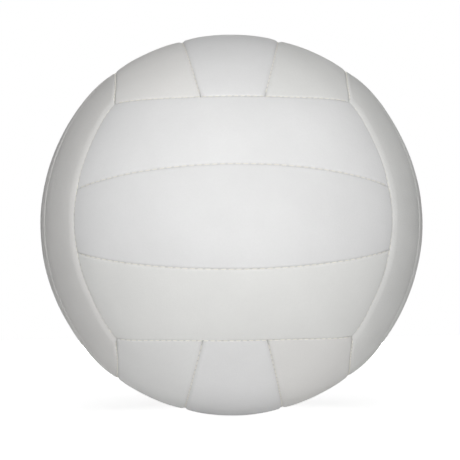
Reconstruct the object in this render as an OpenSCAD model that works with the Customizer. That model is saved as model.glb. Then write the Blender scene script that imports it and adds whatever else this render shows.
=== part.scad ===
// Machine-stitched indoor volleyball: eighteen laminated panels in six groups of three,
// a rubber bladder inside them, and an inflation valve through the middle of the back group.
// The origin is the centre of the ball. +Z is up, -Y faces the viewer, and the valve faces +Y.

/* [Ball] */
// Diameter over the panels
ball_d = 210; // [195:1:225]

/* [Panel layout] */
// Angle at the ball's centre from the middle of a group to the middle of its long edge
long_edge_angle = 37; // [36:0.1:38]
// Angle at the ball's centre from the middle of a group to each seam between its panels
strip_seam_angle = 14.8; // [13.5:0.1:16]

/* [Panel laminate] */
// Thickness of the synthetic leather skin
skin_t = 1.0; // [0.8:0.05:1.3]
// Thickness of the foam under the skin
foam_t = 3.0; // [2.6:0.1:3.6]
// Thickness of the woven lining under the foam
lining_t = 0.5; // [0.3:0.05:0.8]
// Bond line between two layers
bond_gap = 0.1; // [0.05:0.01:0.2]

/* [Seams] */
// Gap between the turned-in edges of two panels
seam_gap = 0.3; // [0.2:0.05:0.5]
// Radius of the rounded shoulder beside a seam
shoulder_r = 3.6; // [3.4:0.1:4]
// Distance from a seam to the middle of that arc. The sewing pulls it under the radius, so the panels press together
shoulder_reach = 2.75; // [2.5:0.05:3]
// Distance by which the arc would rise above the ball, which leaves a soft edge there
shoulder_rise = 0.08; // [0.05:0.01:0.12]
// Thickness of the sewing thread
thread_d = 0.6; // [0.5:0.05:0.7]
// Clearance between the thread and the shoulders that it lies on
thread_gap = 0.1; // [0.05:0.01:0.2]
// Distance from the end of a thread to the seam that it runs into
thread_end_gap = 0.9; // [0.8:0.1:1.5]

/* [Bladder] */
// Wall of the rubber bladder
bladder_t = 0.6; // [0.5:0.05:1]
// Clearance between the lining and the bladder
bladder_gap = 0.3; // [0.2:0.05:0.4]

/* [Valve] */
// Diameter of the valve's neck, which fills the hole in the panel
neck_d = 8; // [7:0.1:10]
// Depth of the neck's face below the ball's surface
neck_recess = 0.4; // [0.2:0.05:0.8]
// Diameter of the flange bonded inside the bladder
flange_d = 34; // [26:1:40]
// Thickness of that flange
flange_t = 1.2; // [0.8:0.1:2]
// Diameter of the stem that reaches into the ball
stem_d = 10; // [9:0.1:12]
// Length of that stem below the flange
stem_length = 9; // [8:0.1:14]
// Diameter of the core's head
core_head_d = 6.2; // [6:0.1:6.4]
// Thickness of the core's head
core_head_t = 0.9; // [0.6:0.1:1.4]
// Diameter of the core's stem
core_d = 4.8; // [4.4:0.1:5.2]
// Length of the core, from its face to its tip
core_length = 13; // [11:0.1:14]
// Length of the tapered tip of the core
core_tip_length = 2; // [1:0.1:3]
// Diameter of the channel for an inflation needle
needle_d = 2.2; // [2:0.1:2.6]
// Depth of that channel, which ends at the self-sealing slit
needle_depth = 6; // [5:0.1:8]
// Depth of the countersink that guides the needle in
needle_lead = 0.6; // [0.4:0.1:0.8]
// Clearance around the neck in the laminate and the bladder, and around the core
valve_gap = 0.1; // [0.05:0.01:0.2]

/* [Hidden] */
$fn = 96;
overrun = 1;
ball_r = ball_d/2;
laminate_t = skin_t + bond_gap + foam_t + bond_gap + lining_t;

// Every seam is a circle on the ball, named by the lean of its axis and its spread, which is
// the angle at the ball's centre between that axis and the seam. The three seams at a corner
// of the layout meet where the ball's diagonal comes out, which has the same share of the radius
// along each axis, so the long edge follows from its middle.
// In a group's own frame, outwards is -X, its panels run along Y and lie side by side along Z.
corner_share = tan(30);
edge_lean = atan((sin(long_edge_angle) - corner_share)/(cos(long_edge_angle) - corner_share));
edge_spread = acos(corner_share*(cos(edge_lean) - sin(edge_lean)));
edge_end_angle = asin(corner_share/sin(edge_spread));

// A seam between two panels of a group is a great circle, and ends at the next group's long edge
meet_x = cos(strip_seam_angle)*cos(edge_lean);
meet_y = -sin(edge_lean);
strip_end_angle = atan2(meet_y, meet_x) + acos(cos(edge_spread)/norm([meet_x, meet_y]));

// A panel is cut from a patch of the ball that is larger than the panel by these angles
patch_margin = 8;
patch_end_margin = 4;
patch_end = 90 - long_edge_angle + patch_end_margin;
group_corner_angle = 45;
seam_sweep = 130;

// Shares of the ball's radius that the seam cutters reach sideways, down to and up to
cutter_side_share = 0.35;
cutter_low_share = 0.8;
cutter_high_share = 1.06;

// Each layer: radius of its top, radius of its bottom, distance from its edge to the seam, radius of
// its shoulder. The shoulders of all layers have the same middle
shoulder_s = sqrt(pow(ball_r - shoulder_r + shoulder_rise, 2) - pow(shoulder_reach, 2));
skin_layer = [ball_r, ball_r - laminate_t, seam_gap/2, shoulder_r];
hollow_layer = [ball_r - skin_t, ball_r - laminate_t - overrun, seam_gap/2 + skin_t, shoulder_r - skin_t];
filling_inset = seam_gap/2 + skin_t + bond_gap;
foam_r = ball_r - skin_t - bond_gap;
foam_layer = [foam_r, foam_r - foam_t, filling_inset, shoulder_r - skin_t - bond_gap];
lining_r = foam_r - foam_t - bond_gap;
lining_layer = [lining_r, lining_r - lining_t, filling_inset, 0];

// The thread lies in the groove between two shoulders
thread_seat = shoulder_r + thread_gap + thread_d/2;
thread_s = shoulder_s + sqrt(pow(thread_seat, 2) - pow(shoulder_reach, 2));

bladder_r = ball_r - laminate_t - bladder_gap;
flange_r = bladder_r - bladder_t - valve_gap;
neck_top = ball_r - neck_recess;
core_seat = neck_top - core_head_t - valve_gap;
neck_hole_r = neck_d/2 + valve_gap;

// Each group: name, turn from its own frame into place, names of its panels along its own Z
groups = [
  ["front", [0, 0, 90], ["lower", "middle", "upper"]],
  ["back", [0, 0, -90], ["lower", "middle", "upper"]],
  ["left", [90, 0, 0], ["rear", "middle", "front"]],
  ["right", [90, 0, 180], ["front", "middle", "rear"]],
  ["top", [0, 90, 0], ["left", "middle", "right"]],
  ["bottom", [0, -90, 0], ["right", "middle", "left"]],
];
layers = ["skin", "foam", "lining"];
inner_nodes = ["seam_thread_strips", "seam_thread_groups", "bladder", "valve_body", "valve_core"];
function panel_node(layer, group, place) = str(layer, "_", group[0], "_", group[2][place + 1]);
panel_nodes = [for (layer = layers) for (group = groups) for (place = [-1:1]) panel_node(layer, group, place)];

// Point in the plane of a seam's axis: s along the ball's radius at the seam, w sideways from it
function beside(spread, s, w) = [s*sin(spread) + w*cos(spread), s*cos(spread) - w*sin(spread)];

// Strip of a seam's plane between two places sideways and two along the radius
module seam_band(spread, from_w, to_w, low, high)
  polygon([
    beside(spread, low, from_w),
    beside(spread, high, from_w),
    beside(spread, high, to_w),
    beside(spread, low, to_w),
  ]);

// What a seam takes from a layer. The panel lies on side 1, away from the axis, or on side -1
module seam_profile(spread, side, layer) {
  high = ball_r*cutter_high_share;
  far_w = -side*ball_r*cutter_side_share;
  seam_band(spread, side*layer[2], far_w, ball_r*cutter_low_share, high);
  if (layer[3] > 0)
    difference() {
      seam_band(spread, side*shoulder_reach, far_w, shoulder_s, high);
      translate(beside(spread, shoulder_s, side*shoulder_reach)) circle(layer[3]);
    }
}

module seam_cutter(spread, side, layer)
  rotate([0, 0, 180 - seam_sweep/2])
    rotate_extrude(angle = seam_sweep)
      seam_profile(spread, side, layer);

module edge_cutter(layer) rotate([0, edge_lean, 0]) seam_cutter(edge_spread, 1, layer);

module strip_cutter(side, layer) rotate([0, strip_seam_angle, 0]) seam_cutter(90, side, layer);

// The end of a panel is the far side of the next group's long edge
module end_cutter(layer) rotate([0, 0, edge_lean - 90]) rotate([90, 0, 0]) seam_cutter(edge_spread, -1, layer);

// Piece of a layer between two heights, given as angles above the XY plane
module patch(from_angle, to_angle, layer)
  rotate([90, 0, 0]) rotate([0, 0, 180 - to_angle])
    rotate_extrude(angle = to_angle - from_angle)
      intersection() {
        difference() {
          circle(layer[0]);
          circle(layer[1]);
        }
        polygon([[0, 0], [ball_d, -ball_d*tan(patch_end)], [ball_d, ball_d*tan(patch_end)]]);
      }

// A patch with its two ends cut
module panel_length(from_angle, to_angle, layer)
  difference() {
    patch(from_angle, to_angle, layer);
    for (flip = [0, 1]) mirror([0, flip, 0]) end_cutter(layer);
  }

module middle_panel(layer)
  difference() {
    panel_length(-strip_seam_angle - patch_margin, strip_seam_angle + patch_margin, layer);
    for (flip = [0, 1]) mirror([0, 0, flip]) strip_cutter(1, layer);
  }

module outer_panel(layer)
  difference() {
    difference() {
      panel_length(strip_seam_angle - patch_margin, group_corner_angle + patch_margin, layer);
      edge_cutter(layer);
    }
    strip_cutter(-1, layer);
  }

// One layer of a panel, at place -1, 0 or 1 along its group's own Z
module panel(place, layer) {
  if (place == 0)
    middle_panel(layer);
  else
    mirror([0, 0, place > 0 ? 0 : 1]) outer_panel(layer);
}

module neck_hole(hole_r) rotate([-90, 0, 0]) cylinder(h = ball_d, r = hole_r);

// The panel in the middle of the back group has a hole for the valve
module with_neck_hole(group, place)
  if (group[0] == "back" && place == 0)
    difference() {
      children();
      neck_hole(neck_hole_r);
    }
  else
    children();

module skin(group, place)
  color([0.93, 0.93, 0.91])
    with_neck_hole(group, place)
      rotate(group[1])
        difference() {
          panel(place, skin_layer);
          panel(place, hollow_layer);
        }

module foam(group, place)
  color([0.86, 0.84, 0.76]) with_neck_hole(group, place) rotate(group[1]) panel(place, foam_layer);

module lining(group, place)
  color([0.8, 0.82, 0.85]) with_neck_hole(group, place) rotate(group[1]) panel(place, lining_layer);

module thread(spread, end_angle) {
  ring_r = thread_s*sin(spread);
  reach_angle = end_angle - thread_end_gap/ring_r*180/PI;
  rotate([0, 0, 180 - reach_angle])
    rotate_extrude(angle = 2*reach_angle)
      translate([ring_r, thread_s*cos(spread)]) circle(d = thread_d);
}

// Thread in the seams between the panels of each group
module seam_thread_strips()
  color([0.76, 0.7, 0.6])
    for (group = groups, flip = [0, 1])
      rotate(group[1]) mirror([0, 0, flip]) rotate([0, strip_seam_angle, 0]) thread(90, strip_end_angle);

// Thread in the seams between the groups
module seam_thread_groups()
  color([0.76, 0.7, 0.6])
    for (group = groups, flip = [0, 1])
      rotate(group[1]) mirror([0, 0, flip]) rotate([0, edge_lean, 0]) thread(edge_spread, edge_end_angle);

module bladder()
  color([0.16, 0.16, 0.17])
    difference() {
      sphere(bladder_r);
      sphere(bladder_r - bladder_t);
      neck_hole(neck_hole_r);
    }

// Rubber body of the valve: neck, flange curved like the bladder, and inner stem
module valve_body()
  color([0.2, 0.2, 0.2])
    rotate([-90, 0, 0])
      rotate_extrude()
        difference() {
          union() {
            intersection() {
              difference() {
                circle(flange_r);
                circle(flange_r - flange_t);
              }
              translate([0, flange_r/2]) square([flange_d/2, flange_r]);
            }
            translate([0, flange_r - flange_t - overrun]) square([neck_d/2, neck_top - flange_r + flange_t + overrun]);
            translate([0, flange_r - flange_t - stem_length]) square([stem_d/2, stem_length]);
          }
          square([core_d/2 + valve_gap, ball_r]);
          translate([0, core_seat]) square([core_head_d/2 + valve_gap, ball_r]);
        }

// Core of the valve: head in the neck's face, stem, tapered tip and needle channel
module valve_core()
  color([0.28, 0.28, 0.28])
    rotate([-90, 0, 0])
      rotate_extrude()
        polygon([
          [0, neck_top - core_length],
          [needle_d/2, neck_top - core_length],
          [core_d/2, neck_top - core_length + core_tip_length],
          [core_d/2, neck_top - core_head_t],
          [core_head_d/2, neck_top - core_head_t],
          [core_head_d/2, neck_top],
          [needle_d/2 + needle_lead, neck_top],
          [needle_d/2, neck_top - needle_lead],
          [needle_d/2, neck_top - needle_depth],
          [0, neck_top - needle_depth],
        ]);

for (group = groups, place = [-1:1]) {
  skin(group, place);
  foam(group, place);
  lining(group, place);
}
seam_thread_strips();
seam_thread_groups();
bladder();
valve_body();
valve_core();
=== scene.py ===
import math

import bpy
import numpy as np
from mathutils import Matrix, Vector, noise


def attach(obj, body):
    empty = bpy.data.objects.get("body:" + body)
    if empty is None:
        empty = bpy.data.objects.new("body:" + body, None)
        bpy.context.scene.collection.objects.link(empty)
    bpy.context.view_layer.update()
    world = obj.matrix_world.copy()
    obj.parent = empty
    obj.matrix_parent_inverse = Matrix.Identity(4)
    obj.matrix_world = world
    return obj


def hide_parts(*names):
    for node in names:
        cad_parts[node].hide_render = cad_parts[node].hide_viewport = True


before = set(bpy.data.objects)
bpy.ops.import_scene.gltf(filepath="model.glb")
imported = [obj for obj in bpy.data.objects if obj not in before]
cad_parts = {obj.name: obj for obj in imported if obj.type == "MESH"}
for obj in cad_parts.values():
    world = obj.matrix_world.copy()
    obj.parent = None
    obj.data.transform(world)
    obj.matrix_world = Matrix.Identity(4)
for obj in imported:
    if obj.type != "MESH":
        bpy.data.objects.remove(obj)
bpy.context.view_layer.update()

# Sizes in metres, the same as in the construction source
BALL_R = 0.105
LONG_EDGE_ANGLE = math.radians(37)
STRIP_SEAM_ANGLE = math.radians(14.8)
SKIN_T = 0.001
FOAM_T = 0.003
LINING_T = 0.0005
BOND_GAP = 0.0001
SEAM_GAP = 0.0003
BLADDER_T = 0.0006
BLADDER_GAP = 0.0003
NECK_HOLE_R = 0.0041
THREAD_END_GAP = 0.0009
LAMINATE_T = SKIN_T + BOND_GAP + FOAM_T + BOND_GAP + LINING_T

# Outer radius of the layers under the skin, how far the foam and the lining stay from a seam, and the
# chamfers at the top of the lining and under both
FOAM_R = BALL_R - SKIN_T - BOND_GAP
LINING_R = FOAM_R - FOAM_T - BOND_GAP
BLADDER_R = BALL_R - LAMINATE_T - BLADDER_GAP
FILL_INSET = SEAM_GAP / 2 + SKIN_T + BOND_GAP
LINING_CHAMFER = 0.00015
UNDER_CHAMFER = 0.00004

# Shoulders beside the seams: radius of the arc and distance of its middle from the seam. They differ
# from group to group, as the photo shows: the side strips roll off softly along their long edges
STRIP, LONG, END = 0, 1, 2
SHOULDERS = {
    "front": ((0.0022, 0.0014), (0.0020, 0.0012), (0.0026, 0.0018)),
    "back": ((0.0022, 0.0014), (0.0020, 0.0012), (0.0026, 0.0018)),
    "left": ((0.0032, 0.0023), (0.0105, 0.0046), (0.0024, 0.0017)),
    "right": ((0.0032, 0.0023), (0.0105, 0.0046), (0.0024, 0.0017)),
    "top": ((0.0033, 0.0024), (0.0032, 0.0022), (0.0019, 0.00115)),
    "bottom": ((0.0033, 0.0024), (0.0032, 0.0022), (0.0019, 0.00115)),
}

# Each group: name, turn from its own frame into place, names of its panels along its own Z
GROUPS = [
    ("front", (0, 0, 90), ("lower", "middle", "upper")),
    ("back", (0, 0, -90), ("lower", "middle", "upper")),
    ("left", (90, 0, 0), ("rear", "middle", "front")),
    ("right", (90, 0, 180), ("front", "middle", "rear")),
    ("top", (0, 90, 0), ("left", "middle", "right")),
    ("bottom", (0, -90, 0), ("right", "middle", "left")),
]
VALVE_PANEL = "back_middle"

# Group whose panel ends meet the long edges of each group
NEXT_GROUP = {
    "front": "top",
    "back": "top",
    "top": "left",
    "bottom": "left",
    "left": "front",
    "right": "front",
}

# Three groups meet where the ball's diagonal comes out: its share of the radius along each axis
CORNER = 1 / math.sqrt(3)
# Circle of the seam between two groups: lean of its axis, spread from the axis, and the angle round the
# axis from its middle to a corner
EDGE_LEAN = math.atan((math.sin(LONG_EDGE_ANGLE) - CORNER) / (math.cos(LONG_EDGE_ANGLE) - CORNER))
EDGE_SPREAD = math.acos(CORNER * (math.cos(EDGE_LEAN) - math.sin(EDGE_LEAN)))
EDGE_END_ANGLE = math.asin(CORNER / math.sin(EDGE_SPREAD))
# Angle from the middle of the seam between two strips to the next group's long edge
MEET_X = math.cos(STRIP_SEAM_ANGLE) * math.cos(EDGE_LEAN)
MEET_Y = -math.sin(EDGE_LEAN)
STRIP_END_ANGLE = math.atan2(MEET_Y, MEET_X) + math.acos(math.cos(EDGE_SPREAD) / math.hypot(MEET_X, MEET_Y))

# Angles from the middle of a group to the two sides of each panel, and to the panels' ends
SIDE_SPANS = {
    -1: (-LONG_EDGE_ANGLE, -STRIP_SEAM_ANGLE),
    0: (-STRIP_SEAM_ANGLE, STRIP_SEAM_ANGLE),
    1: (STRIP_SEAM_ANGLE, LONG_EDGE_ANGLE),
}
END_ANGLE = math.pi / 2 - LONG_EDGE_ANGLE

# Distance between two stitches along each kind of seam, from the photo
STRIP_PITCH = 0.00396
GROUP_PITCH = 0.00332

# The sewing presses the panels together and pulls their edges down, more so where the thread dives
# between two stitches. Each dip has a depth and a reach from the seam
TIGHT_GAP = 0.00004
STITCH_PARTING = 0.00012
EDGE_DROOP = 0.00032
DROOP_REACH = 0.006
CLOSE_DIP = 0.00010
CLOSE_REACH = 0.0010
WIDE_DIP = 0.00005
WIDE_REACH = 0.0028
# Depth below the ball from which the sewing's pull fades, and over which it does
WALL_DROP = 0.0016
WALL_FADE = 0.0012

# Uneven leather: height of its waves and ripples, how many there are to the radius, how far they lie
# below the ball, and the depth in a seam from which they fade and over which they do. Each panel's seed
# shifts its noise along the three axes, and the ripples take another seed
WAVE_HEIGHT = 0.00012
WAVE_SCALE = 5.0
WAVE_SHIFTS = (3.7, 1.3, 2.1)
RIPPLE_HEIGHT = 0.00004
RIPPLE_SCALE = 14.0
RIPPLE_SEED = 5
WAVE_SINK = 0.00008
WAVE_DROP = 0.0002
WAVE_FADE = 0.001

# Painted shade in the seams: depth from which it shows and over which it grows, and its reach round a needle
# hole
SEAM_SHADE_DROP = 0.0004
SEAM_SHADE_FADE = 0.0012
NEEDLE_REACH = 0.0005

# The front's corners lie further out in the photo than in an even layout: shift and reach, aside and up
CORNER_ASIDE = (0.0016, 0.014)
CORNER_UP = (0.0011, 0.028)
# The outline in the photo swells beside four seams and is flatter over the top: angle round the line of
# sight, reach in degrees, and height
SWELLS = [
    (46, 12.4, 0.00125),
    (134, 14.8, 0.00093),
    (227, 10.0, 0.00076),
    (314, 10.4, 0.0009),
    (87, 39.6, -0.00066),
]

# Distance between a surface's points: outside of the skins, inside of them, foam and linings, and all but
# the outside in the panel that has the valve. The rows beyond an edge start at a share of it
SKIN_SPACING = 0.00105
HOLLOW_SPACING = 0.006
FILL_SPACING = 0.004
VALVE_SPACING = 0.003
FIRST_ROW_SHARE = 0.45
# Power with which the drops of two edges blend where they meet
MEET_POWER = 3

# Hole in the panel round the valve's neck: width of the joint to the panel's grid, radius of the rounded
# lip and its steps, chamfer at the bottom, and points round the hole
HOLE_JOINT = 0.0012
HOLE_LIP = 0.0004
LIP_STEPS = 4
HOLE_CHAMFER = 0.00005
HOLE_POINTS = 64

# Stitch: radius of the thread, share of the pitch that shows, rings along it and points round it
STITCH_R = 0.00025
STITCH_SHARE = 0.74
STITCH_RINGS = 13
STITCH_POINTS = 10
# Its ends dive and grow thinner: how much, from which share of its half length, and in what curve
STITCH_DIVE = 0.0005
DIVE_FROM_SHARE = 0.62
DIVE_POWER = 1.6
THIN_SHARE = 0.55
THIN_FROM_SHARE = 0.55
THIN_POWER = 1.5
# Its two plies: how far they wind round in one stitch and from stitch to stitch, and how far they stand out
PLY_TWIST = 2.6 * math.pi
PLY_STEP = 0.7
PLY_SHARE = 0.10

# Bladder: rings and points round it, and height and reach of the mould line round its middle
BLADDER_RINGS = 72
BLADDER_POINTS = 96
MOULD_LINE_H = 0.00012
MOULD_LINE_REACH = 0.0006


def turn_matrix(angles):
    x, y, z = (math.radians(a) for a in angles)
    turn = Matrix.Rotation(z, 3, "Z") @ Matrix.Rotation(y, 3, "Y") @ Matrix.Rotation(x, 3, "X")
    return np.array(turn)


def fade(distance, reach):
    """1 at no distance, falling softly to nothing beyond the reach."""
    return np.exp(-((distance / reach) ** 2))


def rise(values, start, length):
    """0 up to the start, then rising evenly to 1 over the length."""
    return np.clip((values - start) / length, 0, 1)


def add_object(name, data):
    item = bpy.data.objects.new(name, data)
    bpy.context.scene.collection.objects.link(item)
    return item


# Seams

class Seam:
    """A circle on the ball: axis, spread from it, the side of it that the panel lies on, stitch pitch."""

    def __init__(self, axis, spread, side, outwards, pitch):
        self.axis = np.array(axis, float)
        self.spread = spread
        self.side = side
        middle = np.array(outwards, float)
        middle -= middle.dot(self.axis) * self.axis
        self.middle = middle / np.linalg.norm(middle)
        self.across = np.cross(self.axis, self.middle)
        self.ring_r = BALL_R * math.sin(spread)
        self.pitch = pitch

    def plane(self, inset, axis_index):
        """Plane of the circle that lies inset inside the panel, with its normal towards +axis_index."""
        sign = 1 if self.axis[axis_index] > 0 else -1
        return sign * self.axis, sign * np.cos(self.spread + self.side * inset)

    def inset_of(self, point):
        """Distance of each unit direction from the seam, as an angle."""
        lean = np.arccos(np.clip(point @ self.axis, -1, 1))
        return (lean - self.spread) * self.side

    def phase(self, point):
        """1 where the thread dives between two stitches, 0 at the middle of a stitch."""
        angle = np.arctan2(point @ self.across, point @ self.middle)
        return 0.5 + 0.5 * np.cos(2 * math.pi * angle * self.ring_r / self.pitch)

    def towards(self, point):
        """Unit direction over the ball's surface from each point towards the seam."""
        way = self.axis - (point @ self.axis)[..., None] * point
        return self.side * way / np.linalg.norm(way, axis=-1, keepdims=True)


def panel_seams(place):
    """Low side, high side, -Y end and +Y end of a panel, in its group's own frame."""
    out = (-1, 0, 0)
    sin_s, cos_s = math.sin(STRIP_SEAM_ANGLE), math.cos(STRIP_SEAM_ANGLE)
    sin_l, cos_l = math.sin(EDGE_LEAN), math.cos(EDGE_LEAN)
    right = math.pi / 2
    if place == 0:
        low = Seam((sin_s, 0, -cos_s), right, 1, out, STRIP_PITCH)
        high = Seam((sin_s, 0, cos_s), right, 1, out, STRIP_PITCH)
    elif place == 1:
        low = Seam((sin_s, 0, cos_s), right, -1, out, STRIP_PITCH)
        high = Seam((sin_l, 0, cos_l), EDGE_SPREAD, 1, out, GROUP_PITCH)
    else:
        low = Seam((sin_l, 0, -cos_l), EDGE_SPREAD, 1, out, GROUP_PITCH)
        high = Seam((sin_s, 0, -cos_s), right, -1, out, STRIP_PITCH)
    start = Seam((-cos_l, sin_l, 0), EDGE_SPREAD, -1, (0, -1, 0), GROUP_PITCH)
    end = Seam((-cos_l, -sin_l, 0), EDGE_SPREAD, -1, (0, 1, 0), GROUP_PITCH)
    return low, high, start, end


# Edges of the panels: each profile holds points from the foot of the edge upwards, as the angle from the
# seam and the drop below the surface's radius

def arc_middle(shoulder):
    """Radius from the ball's centre, along the seam's plane, of the middle of a shoulder's arc."""
    return math.sqrt((BALL_R - shoulder[0]) ** 2 - shoulder[1] ** 2)


def as_profile(points, top_r):
    """Profile of points given by their distance from the seam's plane and their radius along it."""
    return [(math.atan2(w, s), max(0.0, top_r - math.hypot(w, s))) for w, s in points]


def shoulder_profile(top_r, low_r, inset, shoulder, wall_steps, arc_steps):
    """Up the wall of an edge and over its shoulder."""
    arc_r = shoulder[0] - (BALL_R - top_r)
    reach = shoulder[1]
    middle = arc_middle(shoulder)
    foot_angle = math.asin((reach - inset) / arc_r)
    wall_top = middle + arc_r * math.cos(foot_angle)
    points = []
    for k in range(wall_steps):
        share = k / wall_steps
        points.append((inset, low_r + (wall_top - low_r) * share))
    lean = math.atan2(reach, middle)
    for k in range(arc_steps + 1):
        angle = foot_angle + (-lean - foot_angle) * k / arc_steps
        points.append((reach - arc_r * math.sin(angle), middle + arc_r * math.cos(angle)))
    return as_profile(points, top_r)


def chamfer_profile(top_r, low_r, inset, chamfer):
    """Up the wall of an edge and over a small chamfer."""
    far = inset + chamfer
    wall_top = math.sqrt((top_r - chamfer) ** 2 - inset ** 2)
    points = [(inset, low_r), (inset, wall_top), (far, math.sqrt(top_r ** 2 - far ** 2))]
    return as_profile(points, top_r)


def under_profile(low_r):
    """The edge of an underside, which is a single row."""
    return [(math.atan2(FILL_INSET + UNDER_CHAMFER, low_r), 0.0)]


def skin_profile(shoulder):
    return shoulder_profile(BALL_R, BALL_R - LAMINATE_T, TIGHT_GAP / 2, shoulder, wall_steps=3, arc_steps=9)


def hollow_profile(shoulder):
    inset = SEAM_GAP / 2 + SKIN_T
    return shoulder_profile(BALL_R - SKIN_T, BALL_R - LAMINATE_T, inset, shoulder, wall_steps=1, arc_steps=3)


def foam_profile(shoulder):
    return shoulder_profile(FOAM_R, FOAM_R - FOAM_T, FILL_INSET, shoulder, wall_steps=2, arc_steps=5)


def sides_of(group, place, make_profile):
    """Profiles of a panel's low side, high side and ends."""
    strip, long_edge, end = (make_profile(shoulder) for shoulder in SHOULDERS[group])
    low = long_edge if place == -1 else strip
    high = long_edge if place == 1 else strip
    return low, high, end


# Surfaces of the panels

def edge_rows(profile, steps, spacing):
    """A profile with a few rows beyond it, which widen towards the panel's even spacing."""
    last = profile[-1][0]
    rows = list(profile)
    for k in range(1, steps + 1):
        share = FIRST_ROW_SHARE + (1 - FIRST_ROW_SHARE) * k / steps
        rows.append((last + (spacing / BALL_R) * share * k, 0.0))
    return rows


def rows_between(low, high, span, axis_index, profiles, steps, spacing):
    """Planes of a panel's rows from one seam to the opposite one, with each row's drop at both."""
    low_rows = edge_rows(profiles[0], steps, spacing)
    high_rows = edge_rows(profiles[1], steps, spacing)
    low_reach, high_reach = low_rows[-1][0], high_rows[-1][0]
    open_length = span[1] - span[0] - low_reach - high_reach
    count = max(1, round(open_length * BALL_R / spacing))
    low_edge = low.plane(low_reach, axis_index)
    high_edge = high.plane(high_reach, axis_index)
    rows = [(*low.plane(at, axis_index), drop, 0.0) for at, drop in low_rows]
    for k in range(1, count):
        angle = span[0] + low_reach + open_length * k / count
        middle = np.array([-math.cos(angle), 0.0, 0.0])
        middle[axis_index] = math.sin(angle)
        from_low = low_edge[0].dot(middle) - low_edge[1]
        from_high = high_edge[0].dot(middle) - high_edge[1]
        share = from_low / (from_low - from_high)
        normal = (1 - share) * low_edge[0] + share * high_edge[0]
        rows.append((normal, (1 - share) * low_edge[1] + share * high_edge[1], 0.0, 0.0))
    rows += [(*high.plane(at, axis_index), 0.0, drop) for at, drop in reversed(high_rows)]
    return tuple(np.array([row[k] for row in rows]) for k in range(4))


def directions(side_rows, end_rows):
    """Unit directions where each side row's plane meets each end row's plane on the outward side."""
    n1, d1 = side_rows[0][:, None, :], side_rows[1][:, None, None]
    n2, d2 = end_rows[0][None, :, :], end_rows[1][None, :, None]
    line = np.cross(n1, n2)
    size = (line ** 2).sum(-1, keepdims=True)
    foot = (d1 * np.cross(n2, line) + d2 * np.cross(line, n1)) / size
    reach = np.sqrt(np.maximum(0, 1 - (foot ** 2).sum(-1, keepdims=True)))
    line = line / np.sqrt(size)
    return foot - np.sign(line[..., :1]) * reach * line


def waves(points, scale, seed):
    """Soft noise at each point."""
    flat = points.reshape(-1, 3)
    shift = Vector([seed * step for step in WAVE_SHIFTS])
    values = [noise.noise(Vector(p) * scale + shift) for p in flat]
    return np.array(values).reshape(points.shape[:-1])


def sewn(points, way, drop, seams, seed):
    """Points of a skin after the sewing has pulled at its edges and the leather has set unevenly."""
    off_wall = 1 - rise(drop, WALL_DROP, WALL_FADE)
    for seam in seams:
        inset = seam.inset_of(way) * BALL_R
        dive = seam.phase(way)
        close = fade(inset, CLOSE_REACH) * off_wall
        wide = fade(inset, WIDE_REACH) * off_wall
        droop = EDGE_DROOP * fade(inset, DROOP_REACH) * off_wall
        points = points - way * (dive * (CLOSE_DIP * close + WIDE_DIP * wide) + droop)[..., None]
        points = points + seam.towards(way) * ((dive - 1) * STITCH_PARTING * close)[..., None]
    swell = waves(way, WAVE_SCALE, seed) * WAVE_HEIGHT
    swell += waves(way, RIPPLE_SCALE, seed + RIPPLE_SEED) * RIPPLE_HEIGHT
    flat_share = 1 - rise(drop, WAVE_DROP, WAVE_FADE)
    return points + way * ((swell - WAVE_SINK) * flat_share)[..., None]


def panel_surface(place, top_r, profiles, spacing, steps=1, seed=None):
    """Grid of points over a panel, its edges running down to their profiles' feet. profiles has one for the
    low side, the high side and the two ends. A seed is given for a skin, which shows the sewing's pull."""
    low, high, start, end = panel_seams(place)
    side_rows = rows_between(low, high, SIDE_SPANS[place], 2, profiles[:2], steps, spacing)
    ends = (profiles[2], profiles[2])
    end_rows = rows_between(start, end, (-END_ANGLE, END_ANGLE), 1, ends, steps, spacing)
    way = directions(side_rows, end_rows)
    side_drop = (side_rows[2] + side_rows[3])[:, None]
    end_drop = (end_rows[2] + end_rows[3])[None, :]
    deepest = max(drop for profile in profiles for at, drop in profile)
    drop = np.minimum(deepest, (side_drop ** MEET_POWER + end_drop ** MEET_POWER) ** (1 / MEET_POWER))
    points = way * (top_r - drop)[..., None]
    if seed is None:
        return points
    return sewn(points, way, drop, (low, high, start, end), seed)


# Meshes

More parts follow.
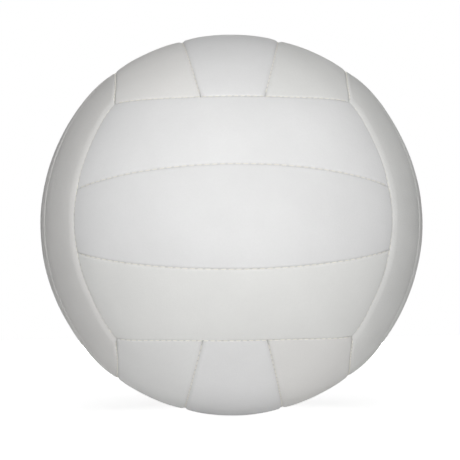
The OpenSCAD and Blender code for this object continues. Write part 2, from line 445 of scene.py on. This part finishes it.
class Builder:
    """Collects points and faces for one mesh."""

    def __init__(self):
        self.points = []
        self.faces = []

    def add_points(self, points):
        first = len(self.points)
        self.points.extend([tuple(p) for p in np.asarray(points).reshape(-1, 3)])
        return first

    def add_grid(self, points, flip=False, hole=None):
        """Faces of a grid of points. hole is a block of cells (i0, i1, j0, j1) that is left out."""
        rows, cols = points.shape[:2]
        first = self.add_points(points)
        index = first + np.arange(rows * cols).reshape(rows, cols)
        for i in range(rows - 1):
            for j in range(cols - 1):
                if hole and hole[0] <= i < hole[1] and hole[2] <= j < hole[3]:
                    continue
                quad = (index[i, j], index[i, j + 1], index[i + 1, j + 1], index[i + 1, j])
                self.faces.append(quad[::-1] if flip else quad)
        return index

    def bridge(self, a, a_at, b, b_at, flip=False):
        """Triangles between two rows of points that run the same way, placed along it by a_at and b_at."""
        i = j = 0
        while i < len(a) - 1 or j < len(b) - 1:
            step_a = i < len(a) - 1 and (j == len(b) - 1 or a_at[i + 1] + a_at[i] <= b_at[j + 1] + b_at[j])
            if step_a:
                face = (a[i], a[i + 1], b[j])
                i += 1
            else:
                face = (a[i], b[j + 1], b[j])
                j += 1
            self.faces.append(face[::-1] if flip else face)

    def drop_unused_points(self):
        used = sorted(set(k for face in self.faces for k in face))
        new_index = {old: new for new, old in enumerate(used)}
        self.points = [self.points[k] for k in used]
        self.faces = [tuple(new_index[k] for k in face) for face in self.faces]

    def make(self, name, turn=None):
        points = np.array(self.points, float)
        if turn is not None:
            points = points @ turn.T
        mesh = bpy.data.meshes.new(name)
        mesh.from_pydata(points.tolist(), [], [tuple(int(k) for k in f) for f in self.faces])
        mesh.polygons.foreach_set("use_smooth", [True] * len(mesh.polygons))
        mesh.validate()
        mesh.update()
        return add_object(name, mesh)


def lengths_along(points):
    """Distance of each point along a row of them, as a share of the row's length."""
    step = np.linalg.norm(np.diff(points, axis=0), axis=1)
    total = np.concatenate([[0], np.cumsum(step)])
    return total / total[-1]


def grid_sides(index):
    """The four border rows of a grid, one after the other round it."""
    return [index[0, :], index[:, -1], index[-1, ::-1], index[::-1, 0]]


def around(points, indices):
    """Indices of a closed loop sorted by their angle about the group's -X direction, with those angles."""
    at = points[indices]
    angle = np.arctan2(at[:, 2], at[:, 1])
    order = np.argsort(angle)
    indices, angle = indices[order], angle[order]
    return np.append(indices, indices[0]), np.append(angle, angle[0] + 2 * math.pi)


def block_loop(index, block):
    """Indices of the points round a block of cells."""
    i0, i1, j0, j1 = block
    return np.unique(np.concatenate([
        index[i0, j0:j1 + 1], index[i1, j0:j1 + 1], index[i0:i1 + 1, j0], index[i0:i1 + 1, j1],
    ]))


def centre_block(points, reach):
    """Block of cells round the middle of a panel that covers a circle of that reach."""
    off = np.hypot(points[..., 1], points[..., 2])
    near_rows = np.where(off.min(axis=1) < reach)[0]
    near_cols = np.where(off.min(axis=0) < reach)[0]
    return near_rows[0] - 1, near_rows[-1] + 1, near_cols[0] - 1, near_cols[-1] + 1


def circle_ring(radius, from_centre):
    """Points of a circle about the group's -X direction, at that distance from the ball's centre."""
    angle = np.linspace(-math.pi, math.pi, HOLE_POINTS, endpoint=False)
    out = np.sqrt(from_centre ** 2 - radius ** 2)
    return np.stack([np.full(HOLE_POINTS, -out), radius * np.cos(angle), radius * np.sin(angle)], axis=1)


def hole_rings(hole_r, top_r, low_r):
    """Radius and distance from the centre of the rings of a hole: its rounded lip, its wall and its foot."""
    lip = min(HOLE_LIP, (top_r - low_r) / 2)
    rings = []
    for k in range(LIP_STEPS + 1):
        angle = math.pi / 2 * k / LIP_STEPS
        rings.append((hole_r + lip * (1 - math.sin(angle)), top_r - lip * (1 - math.cos(angle))))
    rings.append((hole_r, low_r + HOLE_CHAMFER))
    rings.append((hole_r + HOLE_CHAMFER, low_r))
    return rings


def panel_shell(name, turn, top, under, hole_r):
    """Closed piece between two panel surfaces, joined round their edges' feet and round a hole if any."""
    build = Builder()
    blocks = [None, None]
    if hole_r:
        blocks = [centre_block(surface, hole_r + HOLE_JOINT) for surface in (top, under)]
    top_index = build.add_grid(top, flip=True, hole=blocks[0])
    under_index = build.add_grid(under, hole=blocks[1])
    points = np.array(build.points)
    for a, b in zip(grid_sides(top_index), grid_sides(under_index)):
        build.bridge(a, lengths_along(points[a]), b, lengths_along(points[b]))
    if hole_r:
        top_r = np.linalg.norm(top[blocks[0][0], blocks[0][2]])
        low_r = np.linalg.norm(under[blocks[1][0], blocks[1][2]])
        loop, at = around(points, block_loop(top_index, blocks[0]))
        for radius, from_centre in hole_rings(hole_r, top_r, low_r):
            first = build.add_points(circle_ring(radius, from_centre))
            points = np.array(build.points)
            next_loop, next_at = around(points, np.arange(first, first + HOLE_POINTS))
            build.bridge(loop, at, next_loop, next_at, flip=True)
            loop, at = next_loop, next_at
        last_loop, last_at = around(points, block_loop(under_index, blocks[1]))
        build.bridge(loop, at, last_loop, last_at, flip=True)
    build.drop_unused_points()
    return build.make(name, turn)


def mesh_points(item):
    """Points of an object's mesh, one a row."""
    at = np.zeros(len(item.data.vertices) * 3, np.float32)
    item.data.vertices.foreach_get("co", at)
    return at.reshape(-1, 3).astype(float)


def settle(item):
    """Moves the front's corners outwards over the ball and swells or flattens it, alike in every layer."""
    at = mesh_points(item)
    radius = np.linalg.norm(at, axis=1, keepdims=True)
    way = at / radius
    moved = way.copy()
    for x in (-CORNER, CORNER):
        for z in (-CORNER, CORNER):
            away = np.linalg.norm(way - (x, -CORNER, z), axis=1) * BALL_R
            aside = CORNER_ASIDE[0] / BALL_R * fade(away, CORNER_ASIDE[1])
            up = CORNER_UP[0] / BALL_R * fade(away, CORNER_UP[1])
            moved += np.stack([math.copysign(1, x) * aside, aside + up, math.copysign(1, z) * up], axis=1)
    angle = np.degrees(np.arctan2(way[:, 2], way[:, 0]))
    for swell_at, reach, height in SWELLS:
        off = (angle - swell_at + 180) % 360 - 180
        radius[:, 0] += height * fade(off, reach) * (1 - way[:, 1] ** 2)
    moved *= radius / np.linalg.norm(moved, axis=1, keepdims=True)
    item.data.vertices.foreach_set("co", moved.ravel().astype(np.float32))
    item.data.update()


def mark_seams(item, turn, place):
    """Marks each point of a panel, 0 to 1, with its depth in a seam and its nearness to a needle hole."""
    at = mesh_points(item) @ turn
    radius = np.linalg.norm(at, axis=1)
    way = at / radius[:, None]
    # Both marks darken the leather as painted shade: deep in the seams and round the needle holes
    depth = rise(BALL_R - radius, SEAM_SHADE_DROP, SEAM_SHADE_FADE)
    hole = np.zeros(len(at))
    for seam in panel_seams(place):
        inset = seam.inset_of(way) * BALL_R
        hole = np.maximum(hole, seam.phase(way) ** 2 * fade(inset, NEEDLE_REACH))
    for name, values in (("seam_depth", depth), ("needle_hole", hole)):
        attribute = item.data.attributes.new(name, "FLOAT", "POINT")
        attribute.data.foreach_set("value", values.astype(np.float32))


# Materials

class Nodes:
    """Short calls for the node tree of a material or of the world."""

    def __init__(self, owner, output_kind):
        owner.use_nodes = True
        self.owner = owner
        self.tree = owner.node_tree
        self.tree.nodes.clear()
        self.output = self.add(output_kind)

    def add(self, kind, **values):
        node = self.tree.nodes.new(kind)
        for key, value in values.items():
            setattr(node, key, value)
        return node

    def fill(self, socket, value):
        """Gives a socket a number, a colour or another node's output."""
        if isinstance(value, (int, float)):
            socket.default_value = value
        elif isinstance(value, tuple):
            socket.default_value = (*value, 1)
        else:
            self.tree.links.new(value, socket)

    def where(self):
        return self.add("ShaderNodeTexCoord").outputs["Object"]

    def mark(self, name):
        return self.add("ShaderNodeAttribute", attribute_name=name).outputs["Fac"]

    def noise(self, where, scale, detail, rough):
        node = self.add("ShaderNodeTexNoise")
        self.fill(node.inputs["Scale"], scale)
        self.fill(node.inputs["Detail"], detail)
        self.fill(node.inputs["Roughness"], rough)
        self.fill(node.inputs["Vector"], where)
        return node.outputs["Fac"]

    def cells(self, where, scale, feature="F1", smooth=None):
        node = self.add("ShaderNodeTexVoronoi", feature=feature)
        self.fill(node.inputs["Scale"], scale)
        if smooth is not None:
            self.fill(node.inputs["Smoothness"], smooth)
        self.fill(node.inputs["Vector"], where)
        return node.outputs["Distance"]

    def ramp(self, value, low, high, low_to, high_to):
        node = self.add("ShaderNodeMapRange")
        self.fill(node.inputs["From Min"], low)
        self.fill(node.inputs["From Max"], high)
        self.fill(node.inputs["To Min"], low_to)
        self.fill(node.inputs["To Max"], high_to)
        self.fill(node.inputs["Value"], value)
        return node.outputs["Result"]

    def math(self, operation, a, b):
        node = self.add("ShaderNodeMath", operation=operation)
        self.fill(node.inputs[0], a)
        self.fill(node.inputs[1], b)
        return node.outputs["Value"]

    def mix(self, share, a, b):
        """Colour between a and b. The node's colour sockets share their names, so they go by number."""
        node = self.add("ShaderNodeMix", data_type="RGBA")
        self.fill(node.inputs[0], share)
        self.fill(node.inputs[6], a)
        self.fill(node.inputs[7], b)
        return node.outputs[2]

    def bump(self, height, distance, strength):
        node = self.add("ShaderNodeBump")
        self.fill(node.inputs["Strength"], strength)
        self.fill(node.inputs["Distance"], distance)
        self.fill(node.inputs["Height"], height)
        return node.outputs["Normal"]

    def seen(self):
        """1 for what the camera sees, also in gloss or through glass, and 0 for the light on things."""
        ray = self.add("ShaderNodeLightPath")
        seen = self.math("MAXIMUM", ray.outputs["Is Camera Ray"], ray.outputs["Is Glossy Ray"])
        return self.math("MAXIMUM", seen, ray.outputs["Is Transmission Ray"])

    def plain(self, kind, level, **values):
        """Simple shader of one grey level."""
        node = self.add(kind)
        self.fill(node.inputs["Color"], (level, level, level))
        for key, value in values.items():
            self.fill(node.inputs[key], value)
        return node.outputs[0]

    def principled(self, **values):
        node = self.add("ShaderNodeBsdfPrincipled")
        for key, value in values.items():
            self.fill(node.inputs[key.replace("_", " ")], value)
        self.fill(self.output.inputs["Surface"], node.outputs["BSDF"])
        return self.owner


def material_nodes(name):
    return Nodes(bpy.data.materials.new(name), "ShaderNodeOutputMaterial")


def paint(item, material):
    item.data.materials.clear()
    item.data.materials.append(material)


def linear(*levels):
    """Linear colour of screen levels from 0 to 255."""
    return tuple(((v / 255 + 0.055) / 1.055) ** 2.4 if v > 10 else v / 255 / 12.92 for v in levels)


# Shares of the leather's colour in its darker clouds, and in its painted shade in the seams
SHADE_SHARE = 0.93
SEAM_SHADE_SHARES = (0.72, 0.705, 0.67)
# The lining's threads: radians of their wave to the metre
WEAVE_WAVE = 6500.0


def leather(name, colour):
    """Synthetic leather: fine pebble grain, soft clouding, painted shade in the seams and round needle
    holes.
    """
    n = material_nodes(name)
    where = n.where()
    depth = n.mark("seam_depth")
    hole = n.mark("needle_hole")
    cloud = n.noise(where, scale=28.0, detail=3.0, rough=0.55)
    fleck = n.noise(where, scale=900.0, detail=2.0, rough=0.5)
    shade = tuple(c * SHADE_SHARE for c in colour)
    seam_shade = tuple(c * share for c, share in zip(colour, SEAM_SHADE_SHARES))
    base = n.mix(n.ramp(cloud, 0.35, 0.7, 0.0, 0.55), colour, shade)
    base = n.mix(n.ramp(fleck, 0.35, 0.75, 0.0, 0.25), base, shade)
    # Painted shade: darker deep in the seams and round the needle holes
    base = n.mix(n.ramp(depth, 0.5, 1.0, 0.0, 0.08), base, seam_shade)
    base = n.mix(n.ramp(hole, 0.1, 0.8, 0.0, 0.35), base, seam_shade)
    pebble = n.cells(where, scale=1150.0, feature="SMOOTH_F1", smooth=0.6)
    crease = n.noise(where, scale=420.0, detail=4.0, rough=0.6)
    pores = n.noise(where, scale=2600.0, detail=2.0, rough=0.6)
    grain = n.math("ADD", n.math("MULTIPLY", pebble, -0.55), n.math("MULTIPLY", crease, 0.5))
    grain = n.math("ADD", grain, n.math("MULTIPLY", pores, 0.18))
    normal = n.bump(grain, distance=0.00009, strength=0.8)
    rough = n.ramp(cloud, 0.3, 0.7, 0.50, 0.60)
    rough = n.math("ADD", rough, n.math("MULTIPLY", pebble, 0.08))
    return n.principled(Base_Color=base, Roughness=rough, Normal=normal, Specular_IOR_Level=0.03)


def thread_material():
    """Pale sewing thread with fine fibres."""
    n = material_nodes("sewing_thread")
    where = n.where()
    tone = n.noise(where, scale=700.0, detail=2.0, rough=0.5)
    fibre = n.noise(where, scale=9000.0, detail=2.0, rough=0.6)
    base = n.mix(n.ramp(tone, 0.3, 0.7, 0.0, 1.0), linear(243, 241, 234), linear(236, 233, 224))
    base = n.mix(n.ramp(fibre, 0.4, 0.7, 0.0, 0.35), base, linear(216, 212, 201))
    normal = n.bump(fibre, distance=0.00004, strength=0.5)
    return n.principled(
        Base_Color=base,
        Roughness=0.8,
        Normal=normal,
        Specular_IOR_Level=0.25,
        Sheen_Weight=0.15,
    )


def foam_material():
    """Cream foam with open cells."""
    n = material_nodes("panel_foam")
    where = n.where()
    cell = n.cells(where, scale=1600.0)
    tone = n.noise(where, scale=60.0, detail=3.0, rough=0.5)
    base = n.mix(n.ramp(tone, 0.3, 0.7, 0.0, 1.0), linear(226, 218, 196), linear(214, 204, 180))
    normal = n.bump(cell, distance=0.00015, strength=0.7)
    return n.principled(Base_Color=base, Roughness=0.9, Normal=normal, Specular_IOR_Level=0.2)


def lining_material():
    """Grey woven cloth, its threads running along the three axes, with some frayed ones."""
    n = material_nodes("panel_lining")
    where = n.where()
    split = n.add("ShaderNodeSeparateXYZ")
    n.fill(split.inputs[0], where)
    ways = [n.math("SINE", n.math("MULTIPLY", split.outputs[k], WEAVE_WAVE), 0.0) for k in range(3)]
    weave = n.math("ADD", n.math("MULTIPLY", ways[0], ways[1]), n.math("MULTIPLY", ways[1], ways[2]))
    weave = n.math("ADD", weave, n.math("MULTIPLY", ways[0], ways[2]))
    fray = n.noise(where, scale=1500.0, detail=2.0, rough=0.6)
    base = n.mix(n.ramp(weave, -1.0, 1.0, 0.0, 1.0), linear(190, 194, 200), linear(212, 214, 218))
    base = n.mix(n.ramp(fray, 0.45, 0.75, 0.0, 0.3), base, linear(168, 172, 180))
    normal = n.bump(weave, distance=0.00008, strength=0.6)
    return n.principled(Base_Color=base, Roughness=0.88, Normal=normal, Specular_IOR_Level=0.2)


def rubber_material(name, dark, light):
    """Moulded rubber, a little mottled."""
    n = material_nodes(name)
    where = n.where()
    tone = n.noise(where, scale=160.0, detail=4.0, rough=0.6)
    grain = n.noise(where, scale=2400.0, detail=3.0, rough=0.6)
    base = n.mix(n.ramp(tone, 0.3, 0.7, 0.0, 1.0), dark, light)
    normal = n.bump(grain, distance=0.00004, strength=0.5)
    rough = n.ramp(tone, 0.3, 0.7, 0.52, 0.66)
    return n.principled(Base_Color=base, Roughness=rough, Normal=normal, Specular_IOR_Level=0.4)


# Plain whites, a little different from panel to panel: partly the leather's own tone, partly painted light
# that makes the upper and top panels lighter and the lower, bottom and side panels darker
TINTS_AND_PAINTED_LIGHT = {
    "front_upper": linear(233, 233, 233),
    "front_middle": linear(230, 230, 230),
    "front_lower": linear(229, 229, 227),
    "left": linear(223, 222, 220),
    "right": linear(225, 225, 223),
    "top_left": linear(235, 234, 232),
    "top_middle": linear(234, 234, 234),
    "top_right": linear(232, 232, 230),
    "bottom_left": linear(227, 227, 226),
    "bottom_middle": linear(228, 228, 228),
    "bottom_right": linear(228, 227, 225),
    "back": linear(230, 230, 229),
}
skin_materials = {name: leather("leather_" + name, colour) for name, colour in TINTS_AND_PAINTED_LIGHT.items()}
foam_paint = foam_material()
lining_paint = lining_material()


# The eighteen panels

def make_skin(name, group, place, matrix, hole, seed):
    profiles = sides_of(group, place, skin_profile)
    top = panel_surface(place, BALL_R, profiles, SKIN_SPACING, steps=4, seed=seed)
    spacing = VALVE_SPACING if hole else HOLLOW_SPACING
    under = panel_surface(place, BALL_R - SKIN_T, sides_of(group, place, hollow_profile), spacing)
    skin = panel_shell("skin_panel_" + name, matrix, top, under, hole)
    mark_seams(skin, matrix, place)
    settle(skin)
    paint(skin, skin_materials.get(name) or skin_materials[group])
    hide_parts("skin_" + name)
    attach(skin, "root")


def make_foam(name, group, place, matrix, hole):
    spacing = VALVE_SPACING if hole else FILL_SPACING
    top = panel_surface(place, FOAM_R, sides_of(group, place, foam_profile), spacing)
    under = panel_surface(place, FOAM_R - FOAM_T, [under_profile(FOAM_R - FOAM_T)] * 3, spacing)
    foam = panel_shell("foam_pad_" + name, matrix, top, under, hole)
    settle(foam)
    paint(foam, foam_paint)
    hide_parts("foam_" + name)
    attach(foam, "root")
    return foam


def make_lining(name, place, matrix, hole):
    spacing = VALVE_SPACING if hole else FILL_SPACING
    low_r = LINING_R - LINING_T
    profile = chamfer_profile(LINING_R, low_r, FILL_INSET, LINING_CHAMFER)
    top = panel_surface(place, LINING_R, [profile] * 3, spacing)
    under = panel_surface(place, low_r, [under_profile(low_r)] * 3, spacing)
    lining = panel_shell("lining_cloth_" + name, matrix, top, under, hole)
    settle(lining)
    paint(lining, lining_paint)
    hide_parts("lining_" + name)
    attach(lining, "root")


seed = 0
for group, turn, place_names in GROUPS:
    matrix = turn_matrix(turn)
    for place, place_name in zip((-1, 0, 1), place_names):
        seed += 1
        name = group + "_" + place_name
        hole = NECK_HOLE_R if name == VALVE_PANEL else 0.0
        make_skin(name, group, place, matrix, hole, seed)
        foam = make_foam(name, group, place, matrix, hole)
        make_lining(name, place, matrix, hole)


# Stitches

def stitch_height(shoulder):
    """Radius at which a stitch comes to rest on a shoulder that it has pressed aside a little."""
    reach = shoulder[1] + STITCH_PARTING - STITCH_R
    return arc_middle(shoulder) + math.sqrt(shoulder[0] ** 2 - reach ** 2) - EDGE_DROOP


def towards_end(end, from_share, power):
    """0 up to a share of a stitch's half length, then rising to 1 at its end."""
    return max(0, (end - from_share) / (1 - from_share)) ** power


def stitch_points(seam, middle_angle, length, height, start_twist):
    """Twisted two-ply thread over one stitch, its ends going down between the panels."""
    rings = []
    for k in range(STITCH_RINGS):
        share = k / (STITCH_RINGS - 1)
        angle = middle_angle + (share - 0.5) * length / seam.ring_r
        end = abs(2 * share - 1)
        dive = STITCH_DIVE * towards_end(end, DIVE_FROM_SHARE, DIVE_POWER)
        thick = STITCH_R * (1 - THIN_SHARE * towards_end(end, THIN_FROM_SHARE, THIN_POWER))
        outwards = seam.middle * math.cos(angle) + seam.across * math.sin(angle)
        out = seam.axis * math.cos(seam.spread) + math.sin(seam.spread) * outwards
        side = seam.axis * math.sin(seam.spread) - math.cos(seam.spread) * outwards
        centre = out * (height - dive)
        twist = share * PLY_TWIST + start_twist
        ring = []
        for m in range(STITCH_POINTS):
            turn = 2 * math.pi * m / STITCH_POINTS
            lobe = thick * (1 - PLY_SHARE + PLY_SHARE * math.cos(2 * (turn - twist)))
            ring.append(centre + lobe * (math.cos(turn) * side + math.sin(turn) * out))
        rings.append(ring)
    return np.array(rings)


def stitch_row(build, seam, height, end_angle, turn):
    """Stitches along one seam."""
    reach = end_angle - THREAD_END_GAP / seam.ring_r
    step = seam.pitch / seam.ring_r
    length = seam.pitch * STITCH_SHARE
    count = int((reach * seam.ring_r - length / 2) / seam.pitch - 0.5) + 1
    for k in range(-count, count):
        rings = stitch_points(seam, (k + 0.5) * step, length, height, k * PLY_STEP) @ turn.T
        first = build.add_points(rings)
        index = first + np.arange(STITCH_RINGS * STITCH_POINTS).reshape(STITCH_RINGS, STITCH_POINTS)
        for i in range(STITCH_RINGS - 1):
            for m in range(STITCH_POINTS):
                n = (m + 1) % STITCH_POINTS
                build.faces.append((index[i, m], index[i, n], index[i + 1, n], index[i + 1, m]))
        build.faces.append(tuple(index[0, ::-1]))
        build.faces.append(tuple(index[-1]))


thread_paint = thread_material()
for kind in ("strips", "groups"):
    build = Builder()
    for group, turn, place_names in GROUPS:
        if kind == "strips":
            seams = panel_seams(0)[:2]
            end_angle = STRIP_END_ANGLE
            height = stitch_height(SHOULDERS[group][STRIP])
        else:
            seams = (panel_seams(1)[1], panel_seams(-1)[0])
            end_angle = EDGE_END_ANGLE
            shoulders = (SHOULDERS[group][LONG], SHOULDERS[NEXT_GROUP[group]][END])
            height = sum(stitch_height(shoulder) for shoulder in shoulders) / 2
        for seam in seams:
            stitch_row(build, seam, height, end_angle, turn_matrix(turn))
    stitches = build.make("stitches_between_" + kind)
    settle(stitches)
    paint(stitches, thread_paint)
    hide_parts("seam_thread_" + kind)
    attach(stitches, "root")


# Bladder and valve

def bladder_profile():
    """Half section of the bladder about +Y: outside from the neck hole to the far end, then back inside."""
    start = math.asin(NECK_HOLE_R / BLADDER_R)
    inner_r = BLADDER_R - BLADDER_T
    outside = []
    inside = []
    for k in range(BLADDER_RINGS + 1):
        angle = start + (math.pi - start) * k / BLADDER_RINGS
        outer_r = BLADDER_R + MOULD_LINE_H * fade((angle - math.pi / 2) * BLADDER_R, MOULD_LINE_REACH)
        outside.append((outer_r * math.sin(angle), outer_r * math.cos(angle)))
        inside.append((inner_r * math.sin(angle), inner_r * math.cos(angle)))
    return outside, inside[::-1]


def make_bladder():
    """Closed skin of the bladder, with its far end at -Y."""
    outside, inside = bladder_profile()
    build = Builder()
    turns = [2 * math.pi * k / BLADDER_POINTS for k in range(BLADDER_POINTS)]

    def ring(radius, height):
        return build.add_points([(radius * math.cos(t), height, radius * math.sin(t)) for t in turns])

    rows = [ring(r, h) for r, h in outside[:-1]]
    far_out = build.add_points([(0, outside[-1][1], 0)])
    far_in = build.add_points([(0, inside[0][1], 0)])
    back = [ring(r, h) for r, h in inside[1:]]
    for a, b in list(zip(rows, rows[1:])) + list(zip(back, back[1:])) + [(back[-1], rows[0])]:
        for k in range(BLADDER_POINTS):
            m = (k + 1) % BLADDER_POINTS
            build.faces.append((a + k, a + m, b + m, b + k))
    for k in range(BLADDER_POINTS):
        m = (k + 1) % BLADDER_POINTS
        build.faces.append((rows[-1] + k, rows[-1] + m, far_out))
        build.faces.append((back[0] + m, back[0] + k, far_in))
    return build.make("rubber_bladder")


bladder = make_bladder()
settle(bladder)
paint(bladder, rubber_material("bladder_rubber", linear(44, 44, 47), linear(58, 58, 60)))
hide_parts("bladder")
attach(bladder, "root")
valve_rubber = rubber_material("valve_rubber", linear(196, 196, 193), linear(206, 206, 203))
paint(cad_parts["valve_body"], valve_rubber)
core_rubber = rubber_material("valve_core_rubber", linear(70, 70, 72), linear(86, 86, 88))
paint(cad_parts["valve_core"], core_rubber)


# Camera: width of the picture, radius of the ball's outline and place of the picture's middle, all in
# pixels of the photo, the ball's turn, the camera's distance in radii of the ball, the width of its sensor
# in millimetres, and how far it sees in metres
PICTURE_PX = 460
OUTLINE_PX = 191.2
AIM_RIGHT_PX = -1.39
AIM_DOWN_PX = 5.48
YAW = math.radians(0.95)
PITCH = math.radians(-2.32)
ROLL = math.radians(-0.54)
CAMERA_RADII = 11.0
SENSOR_W = 36
CAMERA_REACH = 50


def make_camera():
    lens_px = OUTLINE_PX * math.sqrt(CAMERA_RADII ** 2 - 1)
    view_turn = Matrix.Rotation(ROLL, 3, "Y") @ Matrix.Rotation(PITCH, 3, "X") @ Matrix.Rotation(YAW, 3, "Z")
    to_world = view_turn.transposed()
    aim = Matrix.Rotation(-AIM_RIGHT_PX / lens_px, 3, "Z") @ Matrix.Rotation(-AIM_DOWN_PX / lens_px, 3, "X")
    look = aim @ Vector((0, 1, 0))
    up = aim @ Vector((0, 0, 1))
    right = look.cross(up)
    rotation = Matrix((to_world @ right, to_world @ up, to_world @ -look)).transposed()
    place = to_world @ Vector((0, -CAMERA_RADII * BALL_R, 0))
    camera_data = bpy.data.cameras.new("camera")
    camera_data.sensor_width = SENSOR_W
    camera_data.lens = lens_px / PICTURE_PX * SENSOR_W
    camera_data.clip_end = CAMERA_REACH
    camera = add_object("camera", camera_data)
    camera.matrix_world = Matrix.Translation(place) @ rotation.to_4x4()
    return camera


bpy.context.scene.camera = make_camera()


# Floor: half its width, its clearance under the ball, its grey and its glow. Where the camera sees it,
# more light is added, which grows between two distances from the ball's middle up to plain white
FLOOR_REACH = 3.0
FLOOR_GAP = 0.00002
FLOOR_TONE = 0.82
FLOOR_GLOW = 0.158
FLOOR_NEAR, FLOOR_FAR = 0.3, 1.4
NEAR_LIGHT, FAR_LIGHT = 0.6, 1.0


def floor_material():
    n = material_nodes("pale_floor")
    distance = n.add("ShaderNodeVectorMath", operation="LENGTH")
    n.fill(distance.inputs[0], n.where())
    lift = n.ramp(distance.outputs["Value"], FLOOR_NEAR, FLOOR_FAR, NEAR_LIGHT, FAR_LIGHT)
    light = n.math("ADD", n.math("MULTIPLY", n.seen(), lift), FLOOR_GLOW)
    both = n.add("ShaderNodeAddShader")
    n.fill(both.inputs[0], n.plain("ShaderNodeBsdfDiffuse", FLOOR_TONE))
    n.fill(both.inputs[1], n.plain("ShaderNodeEmission", 1.0, Strength=light))
    n.fill(n.output.inputs["Surface"], both.outputs[0])
    return n.owner


build = Builder()
ends = (-FLOOR_REACH, FLOOR_REACH)
build.add_grid(np.array([[(x, y, -BALL_R - FLOOR_GAP) for x in ends] for y in ends]))
floor = build.make("floor")
paint(floor, floor_material())


# Background: the light that it gives, and plain white where the camera sees it
WORLD_LIGHT = 0.005


def make_world():
    n = Nodes(bpy.data.worlds.new("studio"), "ShaderNodeOutputWorld")
    mixed = n.add("ShaderNodeMixShader")
    n.fill(mixed.inputs[0], n.seen())
    n.fill(mixed.inputs[1], n.plain("ShaderNodeBackground", 1.0, Strength=WORLD_LIGHT))
    n.fill(mixed.inputs[2], n.plain("ShaderNodeBackground", 1.0, Strength=1.0))
    n.fill(n.output.inputs["Surface"], mixed.outputs[0])
    return n.owner


bpy.context.scene.world = make_world()

# Lamps: place, width and light. All of them face the ball
LAMPS = {
    "front_light": ((0.0, -2.4, 0.1), 0.8, 0.44),
    "middle_light": ((0.0, -2.3, 0.84), 1.2, 0.187),
    "high_light": ((0.0, -1.5, 1.8), 1.4, 0.325),
    "left_light": ((-1.7, -1.8, 0.3), 1.2, 0.035),
    "right_light": ((1.7, -1.8, 0.3), 1.2, 0.062),
    "back_light": ((0.0, 2.4, 0.0), 0.6, 0.9),
}


def make_lamp(name, place, size, light):
    """Square lamp that gives a surface facing it about that much light at the ball's middle."""
    to_ball = Vector((0, 0, 0)) - place
    data = bpy.data.lights.new(name, "AREA")
    data.shape = "SQUARE"
    data.size = size
    data.energy = light * math.pi ** 2 * to_ball.length ** 2
    lamp = add_object(name, data)
    turn = to_ball.to_track_quat("-Z", "Y").to_matrix().to_4x4()
    lamp.matrix_world = Matrix.Translation(place) @ turn
    lamp.visible_camera = False
    lamp.visible_glossy = False


for name, (place, size, light) in LAMPS.items():
    make_lamp(name, Vector(place), size, light)

bpy.context.scene.view_settings.view_transform = "Standard"
